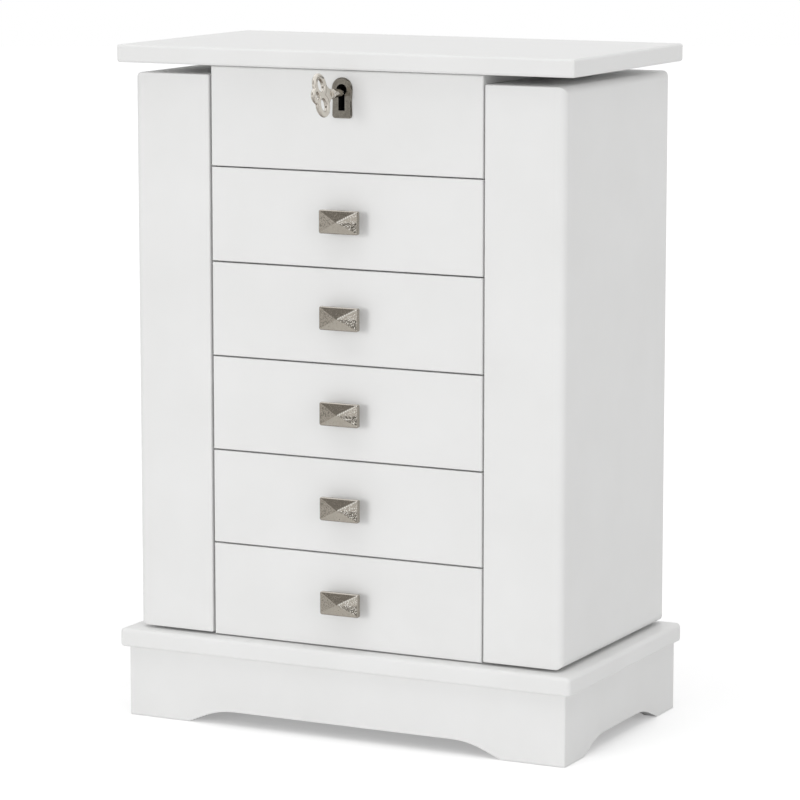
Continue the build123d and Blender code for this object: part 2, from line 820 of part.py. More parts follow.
# Two sides, a rear wall and a bottom let in between them, all behind the front board.
def drawer_box_boards(low):
    x = drawer_box_half_width
    t = drawer_side
    y0 = front_face + drawer_board
    y1 = drawer_box_back
    z0 = low + drawer_box_lift
    z1 = z0 + drawer_box_height
    side = block(x - t, x, y0, y1, z0, z1)
    side = fillet(side.edges().group_by(Axis.Z)[-1].filter_by(Axis.Y), drawer_edge_radius)
    rear = block(-x + t, x - t, y1 - t, y1, z0, z1)
    rear = fillet(rear.edges().group_by(Axis.Z)[-1].filter_by(Axis.X), drawer_edge_radius)
    floor_low = z0 + drawer_bottom_lift
    floor = block(-x + t, x - t, y0, y1 - t, floor_low, floor_low + drawer_bottom)
    return side, mirrored(side), rear, floor


def make_drawers():
    for k in range(drawer_count):
        name = "drawer_" + str(k + 1)
        low = base_top + drawer_gap + drawer_pitch * (drawer_count - 1 - k)
        add(name + "_front", drawer_front_board(low))
        add(name + "_box", *drawer_box_boards(low))
        add(name + "_knob", *knob_shapes(low + drawer_height / 2))


def make_screws(carcass_places, lid_places):
    inwards = (0, -1, 0)
    for place in carcass_places + case_screw_places():
        add("carcass_screws", screw_with_slot(place, inwards))
    for place in catch_screw_places():
        add("carcass_screws", screw_with_slot(place, (math.copysign(1, -place[0]), 0, 0)))
    for place in lid_places:
        add("lid_screws", screw_with_slot(place, inwards))
    for place in strike_screw_places():
        add("lid_screws", screw_with_slot(place, (0, 0, 1)))


def write_steps():
    os.makedirs("parts", exist_ok=True)
    shift = Pos(0, -origin_y, 0)
    for node, solids in nodes.items():
        moved = [shift * solid for solid in solids]
        shape = moved[0] if len(moved) == 1 else Compound(moved)
        export_step(shape, "parts/" + node + ".step")
    print(len(nodes), "nodes, moved back by", origin_y)


make_skirt()
make_base_board()
carcass_hinge_places, lid_hinge_places, door_hinge_places = make_all_hinges()
make_carcass(carcass_hinge_places, catch_screw_places())
make_runners()
make_tray()
make_bumpers()
make_escutcheon()
make_lock_case()
make_bolt()
make_strike()
make_key()
make_lid(lid_hinge_places)
make_doors(door_hinge_places)
make_drawers()
make_screws(carcass_hinge_places, lid_hinge_places)
write_steps()
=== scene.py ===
import bmesh
import bpy
import math
from mathutils import Matrix, Vector, noise


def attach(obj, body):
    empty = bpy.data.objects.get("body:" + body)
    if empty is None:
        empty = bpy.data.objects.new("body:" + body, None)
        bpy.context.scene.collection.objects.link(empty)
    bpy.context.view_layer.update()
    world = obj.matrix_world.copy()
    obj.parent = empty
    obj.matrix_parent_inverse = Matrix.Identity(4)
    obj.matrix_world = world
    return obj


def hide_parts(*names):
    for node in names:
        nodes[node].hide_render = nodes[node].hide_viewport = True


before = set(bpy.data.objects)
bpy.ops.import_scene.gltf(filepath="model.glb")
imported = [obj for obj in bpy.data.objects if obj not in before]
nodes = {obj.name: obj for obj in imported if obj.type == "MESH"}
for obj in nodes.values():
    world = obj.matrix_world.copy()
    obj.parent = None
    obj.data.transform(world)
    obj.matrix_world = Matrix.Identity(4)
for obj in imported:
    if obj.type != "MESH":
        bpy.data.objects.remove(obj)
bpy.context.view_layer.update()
print("frame loaded:", len(nodes), "nodes")

mm = 0.001
originY = 76.7  # depths below are measured from the base board's front edge, as in the source
noise.seed_set(7)


def place(x, y, z):
    return Vector((x, y - originY, z)) * mm


# camera and studio

camera = {"lens": 168.05, "yaw": 26.63, "pitch": 9.052, "at": (1089.62, -2083.837, 598.083)}


def makeCamera():
    data = bpy.data.cameras.new("mainCamera")
    data.lens = camera["lens"]
    data.sensor_width = 36
    data.clip_start = 0.05
    data.clip_end = 60
    cam = bpy.data.objects.new("mainCamera", data)
    bpy.context.scene.collection.objects.link(cam)
    cam.location = place(*camera["at"])
    cam.rotation_euler = (math.radians(90 - camera["pitch"]), 0, math.radians(camera["yaw"]))
    bpy.context.scene.camera = cam


studio = {
    "ambient": 0.5,           # world level for everything but the camera, metal and glass
    "lamps": {                # strength, where from, and how wide in degrees
        "keyLamp": (0.82, (-0.32, -1.0, 0.16), 22),
        "fillLamp": (0.50, (0.8, -0.3, 0.14), 40),
        "topLamp": (1.02, (0.0, -0.12, 1.0), 60),
    },
    "floorColor": (0.86, 0.86, 0.86, 1),
    "floorLift": 0.32,        # seen by the camera only
    "floorRadius": 7.0,
    "cards": {                # grey cards that only metal and glass reflect: middle, size, aim and grey
        "highCard": ((-1.54, -2.36, 1.9), (2.0, 2.0), (-1.54, -2.36, 1.9), 0.40),
        "sideCard": ((2.6, -1.3, 0.9), (0.8, 1.6), (2.6, -1.3, 0.75), 0.03),
        "leftCard": ((-2.6, 1.1, 0.8), (2.2, 1.8), (-2.6, 1.1, 0.2), 0.05),
        "floorMat": ((-1.1, -0.81, 0.002), (0.8, 1.9), (0.0, 0.0, -1.0), 0.62),
    },
}


def addSun(name, strength, direction, angle):
    data = bpy.data.lights.new(name, "SUN")
    data.energy = strength
    data.angle = math.radians(angle)
    lamp = bpy.data.objects.new(name, data)
    bpy.context.scene.collection.objects.link(lamp)
    lamp.rotation_euler = Vector(direction).to_track_quat("Z", "Y").to_euler()
    lamp.visible_glossy = False


def makeStudio():
    world = bpy.data.worlds.new("paleRoom")
    bpy.context.scene.world = world
    world.use_nodes = True
    tree = world.node_tree
    back = tree.nodes["Background"]
    path = tree.nodes.new("ShaderNodeLightPath")
    seen = tree.nodes.new("ShaderNodeMath")
    seen.operation = "MAXIMUM"
    seenToo = tree.nodes.new("ShaderNodeMath")
    seenToo.operation = "MAXIMUM"
    level = tree.nodes.new("ShaderNodeMapRange")
    level.inputs["To Min"].default_value = studio["ambient"]
    level.inputs["To Max"].default_value = 1.0
    tree.links.new(path.outputs["Is Camera Ray"], seen.inputs[0])
    tree.links.new(path.outputs["Is Glossy Ray"], seen.inputs[1])
    tree.links.new(seen.outputs[0], seenToo.inputs[0])
    tree.links.new(path.outputs["Is Transmission Ray"], seenToo.inputs[1])
    tree.links.new(seenToo.outputs[0], level.inputs["Value"])
    tree.links.new(level.outputs[0], back.inputs["Strength"])
    back.inputs["Color"].default_value = (1, 1, 1, 1)

    for name, (strength, source, angle) in studio["lamps"].items():
        addSun(name, strength, source, angle)

    floorMat = bpy.data.materials.new("studioFloor")
    floorMat.use_nodes = True
    tree = floorMat.node_tree
    shader = tree.nodes["Principled BSDF"]
    shader.inputs["Base Color"].default_value = studio["floorColor"]
    shader.inputs["Roughness"].default_value = 0.9
    shader.inputs["Specular IOR Level"].default_value = 0.0
    shader.inputs["Emission Strength"].default_value = 1.0
    path = tree.nodes.new("ShaderNodeLightPath")
    lift = tree.nodes.new("ShaderNodeMapRange")
    lift.inputs["To Max"].default_value = studio["floorLift"]
    tree.links.new(path.outputs["Is Camera Ray"], lift.inputs["Value"])
    tree.links.new(lift.outputs[0], shader.inputs["Emission Color"])
    bm = bmesh.new()
    bmesh.ops.create_circle(bm, cap_ends=True, radius=studio["floorRadius"], segments=96)
    floor = meshObject("studioFloor", bm, floorMat)
    floor.location.z = -0.0004

    for name, (at, size, away, grey) in studio["cards"].items():
        cardMat, _, cardShader = startMaterial(name, Roughness=1.0)
        cardShader.inputs["Base Color"].default_value = (grey, grey * 0.96, grey * 0.91, 1)
        cardShader.inputs["Specular IOR Level"].default_value = 0.0
        bm = bmesh.new()
        bmesh.ops.create_grid(bm, x_segments=1, y_segments=1, size=0.5)
        bmesh.ops.scale(bm, vec=(*size, 1), verts=bm.verts)
        card = meshObject(name, bm, cardMat)
        card.location = at
        card.rotation_euler = Vector(away).to_track_quat("Z", "Y").to_euler()
        card.visible_camera = False
        card.visible_diffuse = False
        card.visible_shadow = False
    bpy.context.scene.view_settings.view_transform = "Standard"


def meshObject(name, bm, material):
    mesh = bpy.data.meshes.new(name)
    bm.to_mesh(mesh)
    bm.free()
    made = bpy.data.objects.new(name, mesh)
    bpy.context.scene.collection.objects.link(made)
    made.data.materials.append(material)
    return made


# finishes: shared effects first

def newGroup(name, inputs, outputs):
    group = bpy.data.node_groups.new(name, "ShaderNodeTree")
    for label, value in inputs:
        kind = "NodeSocketColor" if isinstance(value, tuple) else "NodeSocketFloat"
        group.interface.new_socket(label, in_out="INPUT", socket_type=kind).default_value = value
    for label, kind in outputs:
        group.interface.new_socket(label, in_out="OUTPUT", socket_type="NodeSocket" + kind)
    return group, group.nodes.new("NodeGroupInput"), group.nodes.new("NodeGroupOutput")


def mathNode(tree, operation, a, b=None):
    node = tree.nodes.new("ShaderNodeMath")
    node.operation = operation
    for slot, value in enumerate((a, b)):
        if value is None:
            continue
        if isinstance(value, (int, float)):
            node.inputs[slot].default_value = value
        else:
            tree.links.new(value, node.inputs[slot])
    return node.outputs[0]


def noiseNode(tree, scale, detail=2.0, rough=0.5, stretch=None):
    coord = tree.nodes.new("ShaderNodeTexCoord")
    source = coord.outputs["Object"]
    if stretch is not None:
        mapping = tree.nodes.new("ShaderNodeMapping")
        mapping.inputs["Scale"].default_value = stretch
        tree.links.new(source, mapping.inputs["Vector"])
        source = mapping.outputs["Vector"]
    node = tree.nodes.new("ShaderNodeTexNoise")
    node.inputs["Detail"].default_value = detail
    node.inputs["Roughness"].default_value = rough
    if isinstance(scale, (int, float)):
        node.inputs["Scale"].default_value = scale
    else:
        tree.links.new(scale, node.inputs["Scale"])
    tree.links.new(source, node.inputs["Vector"])
    return node.outputs["Fac"]


def mottleGroup():
    group, start, end = newGroup(
        "softMottle", [("Scale", 14.0), ("Low", 0.0), ("High", 1.0)], [("Value", "Float")])
    spots = noiseNode(group, start.outputs["Scale"], 3.0, 0.55)
    spread = group.nodes.new("ShaderNodeMapRange")
    spread.inputs["From Min"].default_value = 0.3
    spread.inputs["From Max"].default_value = 0.7
    group.links.new(spots, spread.inputs["Value"])
    group.links.new(start.outputs["Low"], spread.inputs["To Min"])
    group.links.new(start.outputs["High"], spread.inputs["To Max"])
    group.links.new(spread.outputs[0], end.inputs["Value"])
    return group


def stippleGroup():
    group, start, end = newGroup(
        "rollerStipple", [("Scale", 900.0), ("Fine", 0.35)], [("Height", "Float")])
    coarse = noiseNode(group, start.outputs["Scale"], 1.0)
    fineScale = mathNode(group, "MULTIPLY", start.outputs["Scale"], 3.7)
    fine = noiseNode(group, fineScale, 2.0)
    weighted = mathNode(group, "MULTIPLY", fine, start.outputs["Fine"])
    group.links.new(mathNode(group, "ADD", coarse, weighted), end.inputs["Height"])
    return group


def edgeGroup():
    group, start, end = newGroup(
        "edgeRub", [("Radius", 0.0008), ("Patch", 120.0)], [("Mask", "Float")])
    rounded = group.nodes.new("ShaderNodeBevel")
    rounded.samples = 4
    group.links.new(start.outputs["Radius"], rounded.inputs["Radius"])
    flat = group.nodes.new("ShaderNodeNewGeometry")
    both = group.nodes.new("ShaderNodeVectorMath")
    both.operation = "DOT_PRODUCT"
    group.links.new(rounded.outputs["Normal"], both.inputs[0])
    group.links.new(flat.outputs["Normal"], both.inputs[1])
    turned = mathNode(group, "SUBTRACT", 1.0, both.outputs["Value"])
    spread = group.nodes.new("ShaderNodeMapRange")
    spread.inputs["From Min"].default_value = 0.02
    spread.inputs["From Max"].default_value = 0.25
    group.links.new(turned, spread.inputs["Value"])
    broken = noiseNode(group, start.outputs["Patch"], 3.0, 0.6)
    group.links.new(mathNode(group, "MULTIPLY", spread.outputs[0], broken), end.inputs["Mask"])
    return group


def napGroup():
    group, start, end = newGroup(
        "clothNap", [("Scale", 2600.0), ("Brushed", 60.0)], [("Height", "Float"), ("Shade", "Float")])
    pile = noiseNode(group, start.outputs["Scale"], 2.0, 0.7)
    swept = noiseNode(group, start.outputs["Brushed"], 2.0, 0.5)
    part = mathNode(group, "MULTIPLY", pile, 0.45)
    whole = mathNode(group, "MULTIPLY", swept, 0.55)
    group.links.new(mathNode(group, "ADD", part, whole), end.inputs["Shade"])
    group.links.new(pile, end.inputs["Height"])
    return group


def castGroup():
    group, start, end = newGroup(
        "castSkin", [("Scale", 900.0), ("Patina", 260.0)], [("Height", "Float"), ("Dirt", "Float")])
    coord = group.nodes.new("ShaderNodeTexCoord")
    pits = group.nodes.new("ShaderNodeTexVoronoi")
    pits.feature = "SMOOTH_F1"
    group.links.new(coord.outputs["Object"], pits.inputs["Vector"])
    group.links.new(start.outputs["Scale"], pits.inputs["Scale"])
    dirt = noiseNode(group, start.outputs["Patina"], 5.0, 0.65)
    spread = group.nodes.new("ShaderNodeMapRange")
    spread.inputs["From Min"].default_value = 0.42
    spread.inputs["From Max"].default_value = 0.68
    group.links.new(dirt, spread.inputs["Value"])
    group.links.new(spread.outputs[0], end.inputs["Dirt"])
    group.links.new(pits.outputs["Distance"], end.inputs["Height"])
    return group


def brushGroup():
    group, start, end = newGroup("brushLines", [("Scale", 700.0)], [("Value", "Float")])
    lines = noiseNode(group, start.outputs["Scale"], 3.0, 0.6, (0.06, 1.0, 1.0))
    group.links.new(lines, end.inputs["Value"])
    return group


shared = {
    "mottle": mottleGroup(), "stipple": stippleGroup(), "edge": edgeGroup(),
    "nap": napGroup(), "cast": castGroup(), "brush": brushGroup(),
}


def useGroup(tree, key, **values):
    node = tree.nodes.new("ShaderNodeGroup")
    node.node_tree = shared[key]
    for label, value in values.items():
        node.inputs[label].default_value = value
    return node


def mixColor(tree, factor, first, second):
    node = tree.nodes.new("ShaderNodeMix")
    node.data_type = "RGBA"
    tree.links.new(factor, node.inputs["Factor"])
    for label, value in (("A", first), ("B", second)):
        socket = next(s for s in node.inputs if s.name == label and s.type == "RGBA")
        if isinstance(value, tuple):
            socket.default_value = value
        else:
            tree.links.new(value, socket)
    return next(s for s in node.outputs if s.type == "RGBA")


def span(tree, factor, low, high):
    node = tree.nodes.new("ShaderNodeMapRange")
    node.inputs["To Min"].default_value = low
    node.inputs["To Max"].default_value = high
    tree.links.new(factor, node.inputs["Value"])
    return node.outputs[0]


def bumpInto(tree, shader, height, strength, depth):
    bump = tree.nodes.new("ShaderNodeBump")
    bump.inputs["Strength"].default_value = strength
    bump.inputs["Distance"].default_value = depth
    tree.links.new(height, bump.inputs["Height"])
    tree.links.new(bump.outputs["Normal"], shader.inputs["Normal"])


def startMaterial(name, **values):
    mat = bpy.data.materials.new(name)
    mat.use_nodes = True
    shader = mat.node_tree.nodes["Principled BSDF"]
    for label, value in values.items():
        shader.inputs[label.replace("_", " ")].default_value = value
    return mat, mat.node_tree, shader


paint = {
    "color": (0.845, 0.845, 0.840, 1), "shade": (0.815, 0.815, 0.808, 1), "rubbed": (0.74, 0.735, 0.72, 1),
    "roughLow": 0.34, "roughHigh": 0.46, "stipple": 900.0, "stippleDepth": 0.00003,
}


def satinPaint():
    mat, tree, shader = startMaterial("satinPaint")
    shader.inputs["Specular IOR Level"].default_value = 0.35
    mottle = useGroup(tree, "mottle", Scale=16.0)
    stipple = useGroup(tree, "stipple", Scale=paint["stipple"])
    rub = useGroup(tree, "edge", Radius=0.0006)
    body = mixColor(tree, mottle.outputs["Value"], paint["shade"], paint["color"])
    wearAndPaintedLight = mixColor(tree, mathNode(tree, "MULTIPLY", rub.outputs["Mask"], 0.35), body, paint["rubbed"])
    tree.links.new(wearAndPaintedLight, shader.inputs["Base Color"])
    tree.links.new(span(tree, mottle.outputs["Value"], paint["roughLow"], paint["roughHigh"]),
                   shader.inputs["Roughness"])
    bumpInto(tree, shader, stipple.outputs["Height"], 0.25, paint["stippleDepth"])
    return mat


pine = {"pale": (0.60, 0.43, 0.26, 1), "dark": (0.44, 0.28, 0.15, 1), "ring": 180.0}


def planedPine():
    mat, tree, shader = startMaterial("planedPine", Roughness=0.68)
    rings = noiseNode(tree, pine["ring"], 2.0, 0.5, (1.0, 0.05, 1.0))
    pores = noiseNode(tree, 2400.0, 2.0, 0.6, (1.0, 0.04, 1.0))
    tone = mathNode(tree, "ADD", mathNode(tree, "MULTIPLY", rings, 0.8), mathNode(tree, "MULTIPLY", pores, 0.2))
    tree.links.new(mixColor(tree, span(tree, tone, -0.4, 1.4), pine["dark"], pine["pale"]),
                   shader.inputs["Base Color"])
    bumpInto(tree, shader, pores, 0.3, 0.0001)
    return mat


cloth = {
    "velvet": ((0.150, 0.146, 0.146, 1), (0.245, 0.240, 0.238, 1)),
    "flock": ((0.185, 0.180, 0.178, 1), (0.255, 0.250, 0.246, 1)),
    "felt": ((0.66, 0.65, 0.62, 1), (0.80, 0.79, 0.76, 1)),
}


def napCloth(name, tones, pile, brushed, sheen):
    mat, tree, shader = startMaterial(name, Roughness=0.95)
    shader.inputs["Sheen Weight"].default_value = sheen
    shader.inputs["Sheen Roughness"].default_value = 0.4
    shader.inputs["Specular IOR Level"].default_value = 0.15
    nap = useGroup(tree, "nap", Scale=pile, Brushed=brushed)
    tree.links.new(mixColor(tree, span(tree, nap.outputs["Shade"], -0.6, 1.6), *tones),
                   shader.inputs["Base Color"])
    bumpInto(tree, shader, nap.outputs["Height"], 0.5, 0.0003)
    return mat


nickel = {
    "knob": ((0.50, 0.46, 0.40, 1), (0.33, 0.295, 0.25, 1), 900.0, 0.35),
    # a painted highlight colour for the bright end of the layer, and a near-dark colour for tarnished pits and
    # painted shade at its dark end
    "wearAndPaintedLight": (1.0, 0.98, 0.93, 1), "pits": (0.05, 0.045, 0.035, 1),
    "plate": ((0.250, 0.232, 0.198, 1), (0.115, 0.105, 0.09, 1), 420.0, 0.5),
    "edge": (0.78, 0.745, 0.69, 1),
    "bright": (0.74, 0.70, 0.635, 1), "brightStain": (0.56, 0.515, 0.445, 1),
    # the dark end on the key: painted shade and tarnish
    "keyShadeAndTarnish": (0.15, 0.115, 0.085, 1),
}


def antiqueNickel(name, clean, dirty, patina, kept):
    mat, tree, shader = startMaterial(name, Metallic=1.0)
    skin = useGroup(tree, "cast", Scale=1400.0, Patina=patina)
    rub = useGroup(tree, "edge", Radius=0.0004, Patch=500.0)
    base = mixColor(tree, mathNode(tree, "MULTIPLY", skin.outputs["Dirt"], kept), clean, dirty)
    tree.links.new(mixColor(tree, rub.outputs["Mask"], base, nickel["edge"]), shader.inputs["Base Color"])
    tree.links.new(span(tree, skin.outputs["Dirt"], 0.16, 0.34), shader.inputs["Roughness"])
    bumpInto(tree, shader, skin.outputs["Height"], 0.15, 0.0001)
    return mat


# lays a mesh's layer of tarnish and painted light over a metal: -1 is the darkest, for tarnish in the pits and
# for painted shade, 1 is a painted highlight
def layWearAndPaintedLight(mat, pits):
    tree = mat.node_tree
    shader = tree.nodes["Principled BSDF"]
    before = shader.inputs["Base Color"].links[0].from_socket
    layer = tree.nodes.new("ShaderNodeAttribute")
    layer.attribute_name = "wearAndPaintedLight"
    bright = tree.nodes.new("ShaderNodeClamp")
    tree.links.new(layer.outputs["Fac"], bright.inputs["Value"])
    dull = tree.nodes.new("ShaderNodeClamp")
    tree.links.new(mathNode(tree, "MULTIPLY", layer.outputs["Fac"], -1.0), dull.inputs["Value"])
    pitted = mixColor(tree, dull.outputs[0], before, pits)
    tree.links.new(mixColor(tree, bright.outputs[0], pitted, nickel["wearAndPaintedLight"]), shader.inputs["Base Color"])
    return mat


def brightNickel(name):
    mat, tree, shader = startMaterial(name, Metallic=1.0)
    mottle = useGroup(tree, "mottle", Scale=230.0)
    tree.links.new(mixColor(tree, mathNode(tree, "MULTIPLY", mottle.outputs["Value"], 0.4),
                            nickel["bright"], nickel["brightStain"]), shader.inputs["Base Color"])
    tree.links.new(span(tree, mottle.outputs["Value"], 0.07, 0.16), shader.inputs["Roughness"])
    bumpInto(tree, shader, mottle.outputs["Value"], 0.15, 0.0001)
    return mat


steel = {"light": (0.62, 0.615, 0.60, 1), "dark": (0.42, 0.415, 0.40, 1), "magnet": (0.28, 0.28, 0.285, 1)}


def platedSteel(name, light, dark, roughLow, roughHigh):
    mat, tree, shader = startMaterial(name, Metallic=1.0)
    lines = useGroup(tree, "brush", Scale=1100.0)
    tree.links.new(mixColor(tree, span(tree, lines.outputs["Value"], -0.3, 1.2), light, dark),
                   shader.inputs["Base Color"])
    tree.links.new(span(tree, lines.outputs["Value"], roughLow, roughHigh), shader.inputs["Roughness"])
    bumpInto(tree, shader, lines.outputs["Value"], 0.12, 0.00005)
    return mat


# near-dark steel for the keyhole tube: it paints the shade inside the keyhole
def keyholeShadeBlack():
    mat, tree, shader = startMaterial("keyholeShadeBlack", Metallic=0.4)
    skin = useGroup(tree, "cast", Scale=1800.0, Patina=300.0)
    tree.links.new(mixColor(tree, skin.outputs["Dirt"], (0.012, 0.012, 0.012, 1), (0.02, 0.018, 0.016, 1)),
                   shader.inputs["Base Color"])
    shader.inputs["Roughness"].default_value = 0.7
    bumpInto(tree, shader, skin.outputs["Height"], 0.2, 0.0001)
    return mat


def silveredGlass():
    mat, tree, shader = startMaterial("silveredGlass", Metallic=1.0)
    haze = useGroup(tree, "mottle", Scale=9.0)
    smear = mathNode(tree, "MULTIPLY", haze.outputs["Value"], 0.3)
    tree.links.new(mixColor(tree, smear, (0.93, 0.94, 0.945, 1), (0.89, 0.905, 0.91, 1)),
                   shader.inputs["Base Color"])
    tree.links.new(span(tree, haze.outputs["Value"], 0.008, 0.03), shader.inputs["Roughness"])
    return mat


finish = {
    "paint": satinPaint(),
    "pine": planedPine(),
    "flock": napCloth("greyFlock", cloth["flock"], 3200.0, 40.0, 0.15),
    "velvet": napCloth("greyVelvet", cloth["velvet"], 2600.0, 90.0, 0.5),
    "felt": napCloth("whiteFelt", cloth["felt"], 1500.0, 300.0, 0.1),
    "antique": antiqueNickel("antiqueNickel", *nickel["knob"]),
    # these two finishes carry the painted highlights and painted shade of each mesh's layer
    "cast": layWearAndPaintedLight(antiqueNickel("castNickel", *nickel["knob"]), nickel["pits"]),
    "pewter": antiqueNickel("darkPewter", *nickel["plate"]),
    "bright": brightNickel("brightNickel"),
    "keySkin": layWearAndPaintedLight(brightNickel("keyNickel"), nickel["keyShadeAndTarnish"]),
    "steel": platedSteel("platedSteel", steel["light"], steel["dark"], 0.24, 0.4),
    "magnet": platedSteel("groundMagnet", steel["magnet"], steel["magnet"], 0.3, 0.5),
    "black": keyholeShadeBlack(),
    "mirror": silveredGlass(),
}

nodeFinish = {
    "skirt": "paint", "base_board": "paint", "side_panel": "paint", "back_panel": "paint",
    "front_panel": "paint", "lid_board": "paint", "corner_blocks": "pine", "drawer_runners": "pine",
    "tray": "flock", "ring_rolls": "velvet", "lid_bumpers": "felt", "escutcheon": "pewter",
    "key": "bright", "mirror_glass": "mirror",
}


def finishOf(name):
    for start, key in nodeFinish.items():
        if name.startswith(start):
            return key
    tail = {"_knob": "antique", "_hooks": "bright", "_magnets": "magnet", "_pocket": "velvet"}
    for end, key in tail.items():
        if name.endswith(end):
            return key
    if name.startswith(("door_", "drawer_")) and not name.endswith(("_hinge_leaves", "_screws")):
        return "paint"
    return "steel"


def dressNodes():
    for name, obj in nodes.items():
        obj.data.materials.clear()
        obj.data.materials.append(finish[finishOf(name)])


# flocked card liners: open trays that stand just off the walls they cover

liner = {"card": 0.7, "off": 0.12, "corner": 1.6}


def makeLiner(name, body, low, high, openFace, material="flock", dropped=()):
    bm = bmesh.new()
    bmesh.ops.create_cube(bm, size=1)
    size = Vector(high) - Vector(low)
    bmesh.ops.scale(bm, vec=size, verts=bm.verts)
    bmesh.ops.translate(bm, vec=(Vector(high) + Vector(low)) / 2, verts=bm.verts)
    gone = [f for f in bm.faces for side in (openFace, *dropped) if f.normal.dot(Vector(side)) > 0.9]
    bmesh.ops.delete(bm, geom=gone, context="FACES")
    inner = [e for e in bm.edges if len(e.link_faces) == 2]
    bmesh.ops.bevel(bm, geom=inner, offset=liner["corner"], segments=4, profile=0.5,
                    affect="EDGES", material=-1)
    bmesh.ops.transform(bm, matrix=Matrix.Scale(mm, 4) @ Matrix.Translation((0, -originY, 0)), verts=bm.verts)
    made = meshObject(name, bm, finish[material])
    wall = made.modifiers.new("card", "SOLIDIFY")
    wall.thickness = liner["card"] * mm
    wall.offset = -1
    for face in made.data.polygons:
        face.use_smooth = True
    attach(made, body)
    return made


drawerBox = {
    "halfWidth": 80.6, "front": 20.0, "back": 159.0, "floor": 9.0, "top": 54.4,
    "base": 59.4, "pitch": 61.8, "count": 5,
}


# drawer 1 is the highest
def drawerBottom(k):
    return drawerBox["base"] + drawerBox["pitch"] * (drawerBox["count"] - k)


def makeDrawerLiners():
    off = liner["off"]
    for k in range(1, drawerBox["count"] + 1):
        low = drawerBottom(k)
        makeLiner(
            f"drawer{k}Liner", f"drawer_{k}",
            (-drawerBox["halfWidth"] + off, drawerBox["front"] + off, low + drawerBox["floor"] + 0.05),
            (drawerBox["halfWidth"] - off, drawerBox["back"] - off, low + drawerBox["top"]), (0, 0, 1))


trayCells = {
    "trayLinerFrontLeft": (-88.0, -2.0, 20.2, 72.0),
    "trayLinerFrontRight": (2.0, 88.0, 20.2, 72.0),
    "trayLinerMiddle": (2.0, 88.0, 76.0, 121.0),
    "trayLinerRear": (2.0, 88.0, 125.0, 171.0),
}
trayHeights = (373.35, 398.9)
compartment = {"halfWidth": 88.0, "front": 34.0, "back": 171.0, "low": 399.4, "high": 430.5}


def makeTrayLiners():
    off = liner["off"]
    low, high = trayHeights
    for name, (x0, x1, y0, y1) in trayCells.items():
        makeLiner(name, "carcass", (x0 + off, y0 + off, low), (x1 - off, y1 - off, high), (0, 0, 1))
    makeLiner(
        "compartmentLiner", "carcass",
        (-compartment["halfWidth"] + off, compartment["front"], compartment["low"]),
        (compartment["halfWidth"] - off, compartment["back"] - off, compartment["high"]),
        (0, 0, 1), dropped=((0, 0, -1), (0, -1, 0)))


doorBox = {"open": 99.6, "panel": 145.6, "front": 19.4, "back": 168.0, "low": 68.3, "high": 419.0}


def makeDoorLiners():
    off = liner["off"]
    for side, sx in (("Right", 1), ("Left", -1)):
        x0, x1 = sorted((sx * doorBox["open"], sx * (doorBox["panel"] - off)))
        makeLiner(
            f"door{side}Liner", f"door_{side.lower()}",
            (x0, doorBox["front"] + off, doorBox["low"] + off),
            (x1, doorBox["back"] - off, doorBox["high"] - off), (-sx, 0, 0))


# gathered velvet pockets at the foot of the doors

pocket = {
    "wall": 144.7, "y0": 23.7, "y1": 163.7, "low": 69.4, "high": 150.2,
    "depth": 21.5, "footDepth": 6.0, "topDepth": 17.0, "widest": 0.34, "squareness": 3.2,
    "folds": 19, "fold": 2.2, "ruffle": 0.95, "hem": 7.0, "across": 300, "up": 64, "cloth": 0.6,
    "cut": (0.196, 0.094),  # 1.4 times the run; the height, its belly and a turned hem
}


def pocketPoint(u, v):
    across = abs(2 * u - 1)
    square, widest = pocket["squareness"], pocket["widest"]
    swell = (1 - across ** square) ** (1 / square) if across < 1 else 0.0
    belly = math.sin(min(1.0, v / widest) * math.pi / 2)
    depth = pocket["footDepth"] + (pocket["depth"] - pocket["footDepth"]) * belly
    if v > widest:
        depth += (pocket["topDepth"] - pocket["depth"]) * ((v - widest) / (1 - widest)) ** 1.6
    hemStart = 1 - pocket["hem"] / (pocket["high"] - pocket["low"])
    draw = max(0.0, 1 - abs(v - hemStart) / 0.05)  # the elastic's line
    depth -= 0.9 * draw
    drift = 2.4 * noise.noise(Vector((u * 3.1, v * 1.3, 4.0)))
    wave = math.sin(2 * math.pi * (u * pocket["folds"] + drift))
    fine = math.sin(2 * math.pi * (u * pocket["folds"] * 2.3 + 1.7 * drift + 0.2))
    uneven = 0.65 + 0.7 * noise.noise(Vector((u * 9.0, v * 2.0, 1.0)))
    strength = math.sin(math.pi * min(1.0, 0.12 + 0.88 * v)) ** 0.6
    ripple = pocket["fold"] * strength * uneven * wave + pocket["ruffle"] * (0.35 + 0.65 * v) * fine
    ripple *= min(1.0, (1 - across) * 14)
    x = pocket["wall"] - max(0.15, depth * swell + ripple * swell)
    y = pocket["y0"] + (pocket["y1"] - pocket["y0"]) * u + 0.5 * ripple * (2 * u - 1)
    sag = 1.6 * math.sin(math.pi * u) * max(0.0, v - 0.5) * 2
    z = pocket["low"] + (pocket["high"] - pocket["low"]) * v - sag + 0.35 * fine * (v > 0.97)
    return x, y, z


def makePockets():
    for side, sx in (("Right", 1), ("Left", -1)):
        bm = bmesh.new()
        bmesh.ops.create_grid(bm, x_segments=pocket["across"], y_segments=pocket["up"], size=0.5)
        for v in bm.verts:
            x, y, z = pocketPoint(v.co.x + 0.5, v.co.y + 0.5)
            v.co = place(sx * x, y, z)
        bm.normal_update()
        made = meshObject(f"door{side}Pocket", bm, finish["velvet"])
        for face in made.data.polygons:
            face.use_smooth = True
        wall = made.modifiers.new("cloth", "SOLIDIFY")
        wall.thickness = pocket["cloth"] * mm
        wall.offset = 0
        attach(made, f"door_{side.lower()}")
        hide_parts(f"door_{side.lower()}_pocket")


# ring rolls: velvet over foam, each a little different

rolls = {
    "count": 6, "x0": -87.6, "x1": -2.4, "y0": 76.0, "pitch": 15.833, "half": 7.5,
    "low": 373.4, "height": 18.6,
}


